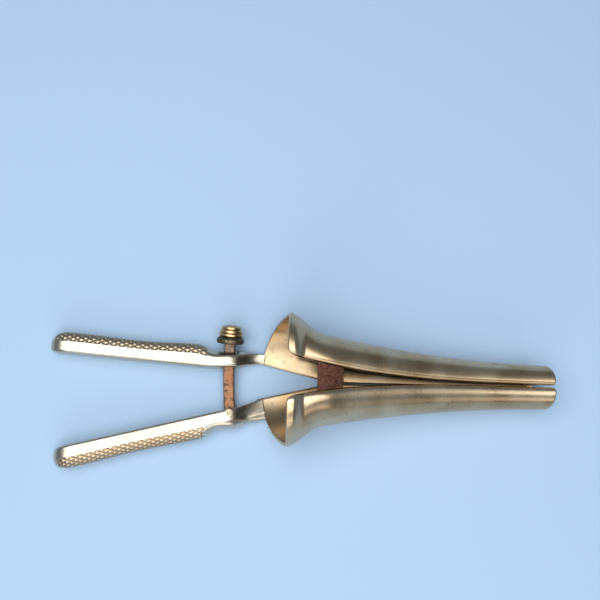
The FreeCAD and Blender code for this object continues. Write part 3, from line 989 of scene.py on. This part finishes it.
@dataclass
class Adjuster:
    """The curved screw with its eye, and the ringed thumb nut with its flange.

    The screw starts at its pin, leaning from Y, and bends along an arc that rises from the
    level plane. Distances along it count from the pin.
    """

    pivot: Triple = (-43.65, -14.44, 4.2)
    lean_deg: float = 7.0
    rise_deg: float = 48.7
    arc: float = 113.0
    # Bar, thread and eye.
    length: float = 38.2
    bar_from: float = 2.0
    radius: float = 2.6
    flat: float = 3.2
    pitch: float = 0.8
    thread: float = 0.22
    thread_from: float = 5.0
    thread_soft: float = 1.0
    end_long: float = 0.6
    end_taper: float = 0.14
    eye: float = 2.6
    eye_chamfer: float = 0.25
    pin: float = 1.35
    # Flange: a disc with a round edge, less at its foot, under its lip and at its top.
    washer_at: float = 30.6
    washer_thick: float = 2.9
    washer_radius: float = 6.1
    washer_round: float = 0.8
    washer_belly: float = 0.42
    washer_foot: float = 0.9
    washer_lip: float = 0.85
    washer_top: float = 0.95
    # Nut: rings that step down by fall * k + sag * k^2, and a low hub on top.
    nut_gap: float = 0.16
    nut_radius: float = 5.45
    nut_foot: float = 0.3
    ring_from: float = 0.25
    ring_pitch: float = 1.5
    ring_depth: float = 0.55
    ring_long: float = 1.25
    ring_power: float = 0.6
    ring_fall: float = 0.28
    ring_sag: float = 0.12
    rings: int = 3
    hub: float = 1.5
    hub_edge: float = 0.15
    bore: float = 2.9
    bore_edge: Pair = (0.2, 0.25)
    top_edge: float = 0.05
    # Points, and wear.
    turn_rings: int = 8
    bar_points: int = 64
    lathe_points: int = 96
    crest_wear: float = 0.75
    crest_share: float = 0.75
    worn_from: float = 20.0
    worn_long: float = 6.0
    end_wear: float = 0.3

    def on_screw(self, distance: Array) -> tuple[Array, Array, Array, Array]:
        """Place and directions along the arc, by distance d from the pivot.

        With t = d / arc, the point is centre + (start sin t - bend cos t) arc, and its direction
        is start cos t + bend sin t. The level and upright directions turn with it.

        Args:
            distance: Way along the screw from the pivot.

        Returns:
            Points, directions, level directions and upright directions, each (..., 3).
        """
        lean, rise = math.radians(self.lean_deg), math.radians(self.rise_deg)
        start = np.array([-math.sin(lean), math.cos(lean), 0.0])
        level, upright = np.array([-start[1], start[0], 0.0]), np.array([0.0, 0.0, 1.0])
        bend = upright * math.sin(rise) - level * math.cos(rise)
        square = np.cross(start, bend)
        turn = np.asarray(distance)[..., None] / self.arc
        c, s = np.cos(turn), np.sin(turn)
        points = np.array(self.pivot) + bend * self.arc + (start * s - bend * c) * self.arc
        inward = bend * c - start * s
        sides = [inward * (v @ bend) + square * (v @ square) for v in (level, upright)]
        return points, start * c + bend * s, sides[0], sides[1]

    def build_screw(self) -> Piece:
        """Bar along the arc; its radius falls by a triangle wave that winds with the thread.

        Its top and bottom are cut flat.

        Returns:
            The new object.
        """
        along = np.arange(self.bar_from, self.length, self.pitch / self.turn_rings)
        taper = np.clip((self.length - along) / self.end_long, 0.0, 1.0)[:, None]
        turn = np.linspace(0, 2 * np.pi, self.bar_points, endpoint=False)[None, :]
        way = along[:, None]
        wave = way / self.pitch - turn / (2 * np.pi)
        cut = 2.0 * np.abs(wave - np.round(wave))
        cut = cut * smooth((way - self.thread_from) / self.thread_soft)
        r = (self.radius - self.thread * cut) * (1.0 - self.end_taper + self.end_taper * taper)
        middle, _, level, upright = (block[:, None, :] for block in self.on_screw(along))
        lift = np.clip(r * np.sin(turn), -self.flat / 2, self.flat / 2)
        full = middle + level * (r * np.cos(turn))[..., None] + upright * lift[..., None]
        points, faces = closed_tube(full)
        crest = self.crest_wear * (1.0 - cut) * (np.abs(np.sin(turn)) < self.crest_share)
        worn = self.crest_wear * smooth((way - self.worn_from) / self.worn_long)
        wear = np.append(np.maximum(crest, worn), [self.end_wear] * 2)
        return make_piece("threaded_screw", points, faces, wear)

    def lathe(self, name: str, profile: list[Pair], wear: list[float], frame: tuple[Array, ...],
              around: int) -> Piece:
        """Closed profile of (along, radius) turned about an axis.

        Args:
            name: Name of the piece.
            profile: Points round the closed profile.
            wear: Wear at each profile point.
            frame: Place of the profile's zero, the axis, and two directions square to it.
            around: Points round the axis.

        Returns:
            The new object.
        """
        count = len(profile)
        middle, way, level, upright = frame
        turn = np.linspace(0, 2 * np.pi, around, endpoint=False)[:, None, None]
        go, r = (np.array(profile)[:, k][None, :, None] for k in range(2))
        points = middle + way * go + r * (level * np.cos(turn) + upright * np.sin(turn))
        faces = ring_quads(around + 1, count) % (around * count)
        return make_piece(name, points.reshape(-1, 3), [faces], np.tile(np.array(wear), around))

    def build_nut(self) -> Piece:
        """Thumb nut turned from three round rings that step down towards its end.

        Each ring goes along by half its length times (1 - cos a) and out by depth * sin(a)^power.

        Returns:
            The new object.
        """
        foot = self.nut_radius - self.ring_depth - self.nut_foot
        profile, wear = [(0.0, self.bore), (0.0, foot)], [0.0, 0.1]
        for k in range(self.rings):
            base = self.ring_from + self.ring_pitch * k
            low = self.nut_radius - self.ring_fall * k - self.ring_sag * k * k - self.ring_depth
            for a in np.radians(np.linspace(0, 180, 13)):
                crown = self.ring_depth * max(math.sin(a), 0.0) ** self.ring_power
                profile.append((base + self.ring_long / 2 * (1 - math.cos(a)), low + crown))
                wear.append(0.9 * math.sin(a) ** 2)
        top = self.ring_from + self.ring_pitch * self.rings
        hub = self.nut_radius - self.ring_depth - self.hub
        down, out = self.bore_edge
        profile += [(top - self.top_edge, hub), (top, hub - self.hub_edge)]
        profile += [(top, self.bore + out), (top - down, self.bore)]
        wear += [0.6, 0.6, 0.4, 0.2]
        frame = self.on_screw(np.array(self.washer_at + self.washer_thick + self.nut_gap))
        return self.lathe("ringed_thumb_nut", profile, wear, frame, self.lathe_points)

    def build_flange(self) -> Piece:
        """Flange under the nut: a thick disc whose edge is a flattened round.

        Returns:
            The new object.
        """
        thick, big = self.washer_thick, self.washer_radius
        profile, wear = [(0.0, self.bore), (0.0, big - self.washer_foot)], [0.0, 0.2]
        for a in np.radians(np.linspace(-80, 70, 14)):
            out = big - self.washer_round + self.washer_round * math.cos(a)
            profile.append((self.washer_belly * thick * (1.0 + math.sin(a)), out))
            wear.append(0.5 * math.cos(a) ** 2)
        profile += [(thick - self.top_edge, big - self.washer_lip)]
        profile += [(thick, big - self.washer_top), (thick, self.bore)]
        wear += [0.3, 0.2, 0.0]
        frame = self.on_screw(np.array(self.washer_at))
        return self.lathe("nut_flange", profile, wear, frame, self.lathe_points)

    def build_eye(self) -> Piece:
        """Eye of the screw round its pin: a ring with softened edges.

        Returns:
            The new object.
        """
        high, c, r = self.flat / 2, self.eye_chamfer, self.eye
        profile = [(-high, self.pin), (-high, r - c), (c - high, r)]
        profile += [(high - c, r), (high, r - c), (high, self.pin)]
        east, north, up = np.eye(3)
        frame = (np.array(self.pivot), up, east, north)
        return self.lathe("screw_eye", profile, [0.0] * 6, frame, self.bar_points)

    def build(self) -> None:
        """Makes, dresses and places the adjuster's pieces."""
        rust, brass, flange_shade = SCREW.material(), NUT.material(), SHADED_FLANGE.material()
        for piece in (self.build_screw(), self.build_eye()):
            settle(piece, rust, "screw", "screw_steel", "adjusting_screw")
        settle(self.build_nut(), brass, "nut", "nut_brass", "thumb_nut")
        # The flange's near-black finish is painted shade.
        settle(self.build_flange(), flange_shade, "washer", "washer_brass", "nut_washer")


@dataclass
class Fittings:
    """The hinge leaves, rivet and pin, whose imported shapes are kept."""

    finishes: tuple[tuple[str, Plate], ...] = (
        ("upper_hinge_leaf", HINGE), ("lower_hinge_leaf", HINGE),
        ("hinge_rivet", HINGE), ("screw_pivot_pin", PIN))

    def dress(self, nodes: dict[str, Piece]) -> None:
        """Puts each finish on its node's slots.

        Args:
            nodes: Packed objects by the name of their node.
        """
        made: dict[str, Material] = {}
        for name, finish in self.finishes:
            if finish.name not in made:
                made[finish.name] = finish.material()
            piece = nodes[name]
            if not piece.material_slots:
                piece.data.materials.append(made[finish.name])
            for slot in piece.material_slots:
                slot.material = made[finish.name]
            LOG.info("%s: dressed", name)


@dataclass(frozen=True)
class Lamp:
    """Soft rectangular lamp, in metres and watts, that looks at the instrument's middle."""

    name: str
    place: Triple
    size: Pair
    power: float
    tint: Triple
    aim: Triple = (-0.01, 0.0, 0.0)

    def build(self) -> None:
        """Adds the lamp and turns it towards its aim."""
        data = bpy.data.lights.new(self.name, "AREA")
        data.shape = "RECTANGLE"
        data.size, data.size_y = self.size
        data.energy = self.power
        data.color = self.tint
        lamp = bpy.data.objects.new(self.name, data)
        bpy.context.collection.objects.link(lamp)
        lamp.location = self.place
        way = Vector(self.aim) - Vector(self.place)
        lamp.rotation_euler = way.to_track_quat("-Z", "Y").to_euler()


@dataclass
class Studio:
    """Floor, lights, world and camera; places and sizes are in metres, lens and sensor in mm."""

    lamps: tuple[Lamp, ...] = (
        Lamp("window_lamp", (-0.10, -0.06, 0.80), (1.10, 1.00), 9.2, (1.0, 0.98, 0.94)),
        Lamp("side_lamp", (0.0, -0.85, 0.42), (1.0, 0.45), 2.6, (1.0, 0.96, 0.92)))
    floor_half: float = 1.6
    floor_drop: float = 0.0002
    floor_rough: float = 0.9
    paper: Colour = (0.44, 0.62, 0.86, 1)
    room: Colour = (0.62, 0.76, 0.95, 1)
    room_level: float = 0.10
    backdrop_level: float = 0.26
    eye: Triple = (-0.014765, -0.024300, 0.326568)
    right: Triple = (0.99963056, 0.02644862, 0.00626274)
    up: Triple = (-0.02715248, 0.98210930, 0.18634392)
    look: Triple = (0.00122215, 0.18644513, -0.98246461)
    lens: float = 43.62
    sensor: float = 36.0
    clip: Pair = (0.01, 10.0)

    def floor(self) -> None:
        """Pale paper floor just under the instrument."""
        h, z = self.floor_half, -self.floor_drop
        mesh = bpy.data.meshes.new("paper_floor")
        mesh.from_pydata([(-h, -h, z), (h, -h, z), (h, h, z), (-h, h, z)], [], [(0, 1, 2, 3)])
        floor = bpy.data.objects.new("paper_floor", mesh)
        bpy.context.collection.objects.link(floor)
        paper = bpy.data.materials.new("pale_paper")
        paper.use_nodes = True
        shader = paper.node_tree.nodes["Principled BSDF"]
        shader.inputs["Base Color"].default_value = self.paper
        shader.inputs["Roughness"].default_value = self.floor_rough
        floor.data.materials.append(paper)

    def world(self) -> None:
        """Dim soft surroundings that show as a paler backdrop, also in metal."""
        world = bpy.data.worlds.new("studio")
        bpy.context.scene.world = world
        world.use_nodes = True
        tree = world.node_tree
        graph = Graph(tree)
        dim, pale = tree.nodes["Background"], graph.add("ShaderNodeBackground", {})
        for back, level in ((dim, self.room_level), (pale, self.backdrop_level)):
            back.inputs["Color"].default_value = self.room
            back.inputs["Strength"].default_value = level
        path = graph.add("ShaderNodeLightPath", {})
        rays = [path.outputs[f"Is {kind} Ray"] for kind in ("Camera", "Glossy", "Transmission")]
        seen = graph.join(graph.join(rays[0], rays[1], Join.LARGER), rays[2], Join.LARGER)
        mix = graph.add("ShaderNodeMixShader", {0: seen, 1: dim.outputs[0], 2: pale.outputs[0]})
        tree.links.new(mix.outputs[0], tree.nodes["World Output"].inputs["Surface"])

    def camera(self) -> None:
        """Camera at the photograph's place and angle."""
        data = bpy.data.cameras.new("camera")
        data.lens = self.lens
        data.sensor_width = self.sensor
        data.clip_start, data.clip_end = self.clip
        camera = bpy.data.objects.new("camera", data)
        bpy.context.collection.objects.link(camera)
        turn = Matrix((self.right, self.up, [-v for v in self.look])).transposed()
        camera.matrix_world = Matrix.Translation(self.eye) @ turn.to_4x4()
        bpy.context.scene.camera = camera

    def build(self) -> None:
        """Sets the whole studio up."""
        self.floor()
        for lamp in self.lamps:
            lamp.build()
        self.world()
        self.camera()
        bpy.context.scene.view_settings.view_transform = "Standard"


def main() -> None:
    """Builds the instrument's pieces in order."""
    logging.basicConfig(level=logging.INFO, format="%(message)s")
    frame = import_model()
    blade_metal = BLADE.material()
    # The lower blade's curled edge gets more bare metal than the upper's: partly wear, partly a
    # painted highlight along that edge.
    for blade in (Blade(Side.UPPER, curl_wear_and_highlight=0.1), Blade(Side.LOWER, curl_wear_and_highlight=0.5)):
        blade.dress(blade.build(), blade_metal, "blade_metal", "valve")
    handle_metal = HANDLE.material()
    for handle in (UPPER_HANDLE, LOWER_HANDLE):
        handle.dress(handle.build(), handle_metal, "handle_metal", "handle")
    Adjuster().build()
    Fittings().dress(frame["nodes"])
    Studio().build()


if __name__ == "__main__":
    main()
